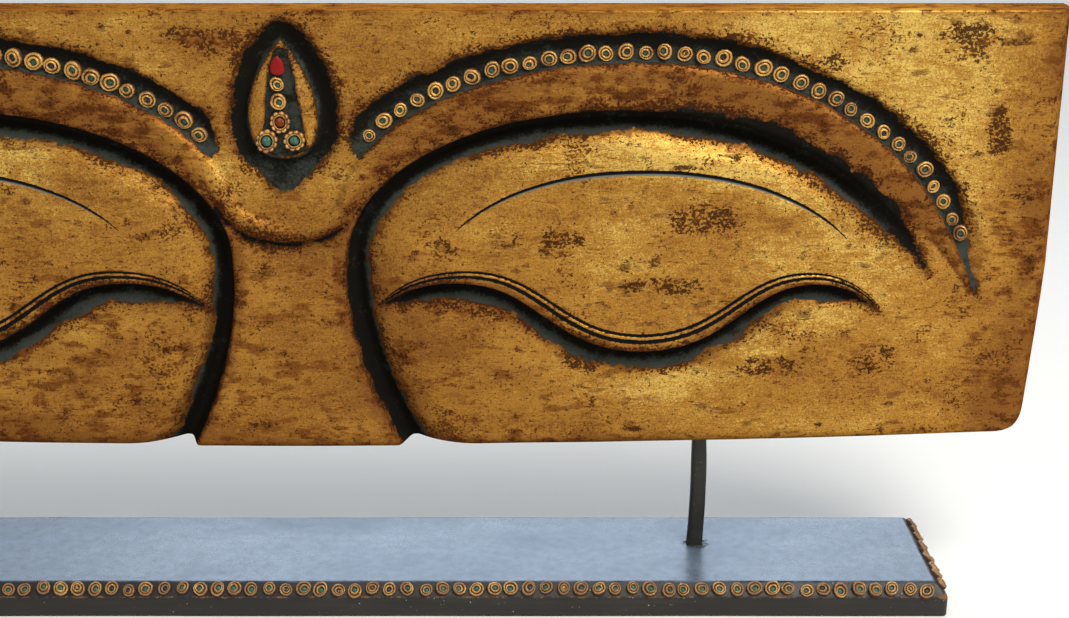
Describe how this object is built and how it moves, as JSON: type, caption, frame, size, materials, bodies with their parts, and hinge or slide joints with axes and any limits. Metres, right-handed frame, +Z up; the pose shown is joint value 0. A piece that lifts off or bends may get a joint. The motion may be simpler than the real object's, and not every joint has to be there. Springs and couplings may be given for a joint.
{
  "type": "carved eye panel on a stand",
  "caption": "Long carved and gilded wooden relief of a pair of lowered eyes under high arched brows, held over a low black base board by two slim posts.",
  "frame": {"origin": "on the floor, under the middle of the base board", "axes": "+Z up, +X along the panel to the viewer's right, and the carved face looks along -Y"},
  "size_m": [1.016, 0.1199, 0.402],
  "materials": {
    "gold_paint": "gold paint over a dark red-brown undercoat, worn and streaked along the grain",
    "black_paint": "semi-gloss black paint, rubbed brown at the edges",
    "ringlet_paste": "dull gold paint with dark crevices",
    "green_stone": "polished, nearly opaque green",
    "brown_stone": "polished, nearly opaque red-brown",
    "red_stone": "polished, opaque red"
  },
  "bodies": {
    "root": {"panel": "gold_paint", "base": "black_paint", "post_left": "black_paint", "post_right": "black_paint", "brow_rings_right": "ringlet_paste", "brow_rings_left": "ringlet_paste", "base_rings_front": "ringlet_paste", "base_rings_right": "ringlet_paste", "base_rings_left": "ringlet_paste", "drop_ringlet_upper": "ringlet_paste", "drop_ringlet_lower": "ringlet_paste", "drop_collar_brown": "ringlet_paste", "drop_collar_green_left": "ringlet_paste", "drop_collar_green_right": "ringlet_paste", "drop_stone_green_left": "green_stone", "drop_stone_green_right": "green_stone", "drop_stone_brown": "brown_stone", "drop_red_stone": "red_stone"}
  },
  "joints": []
}
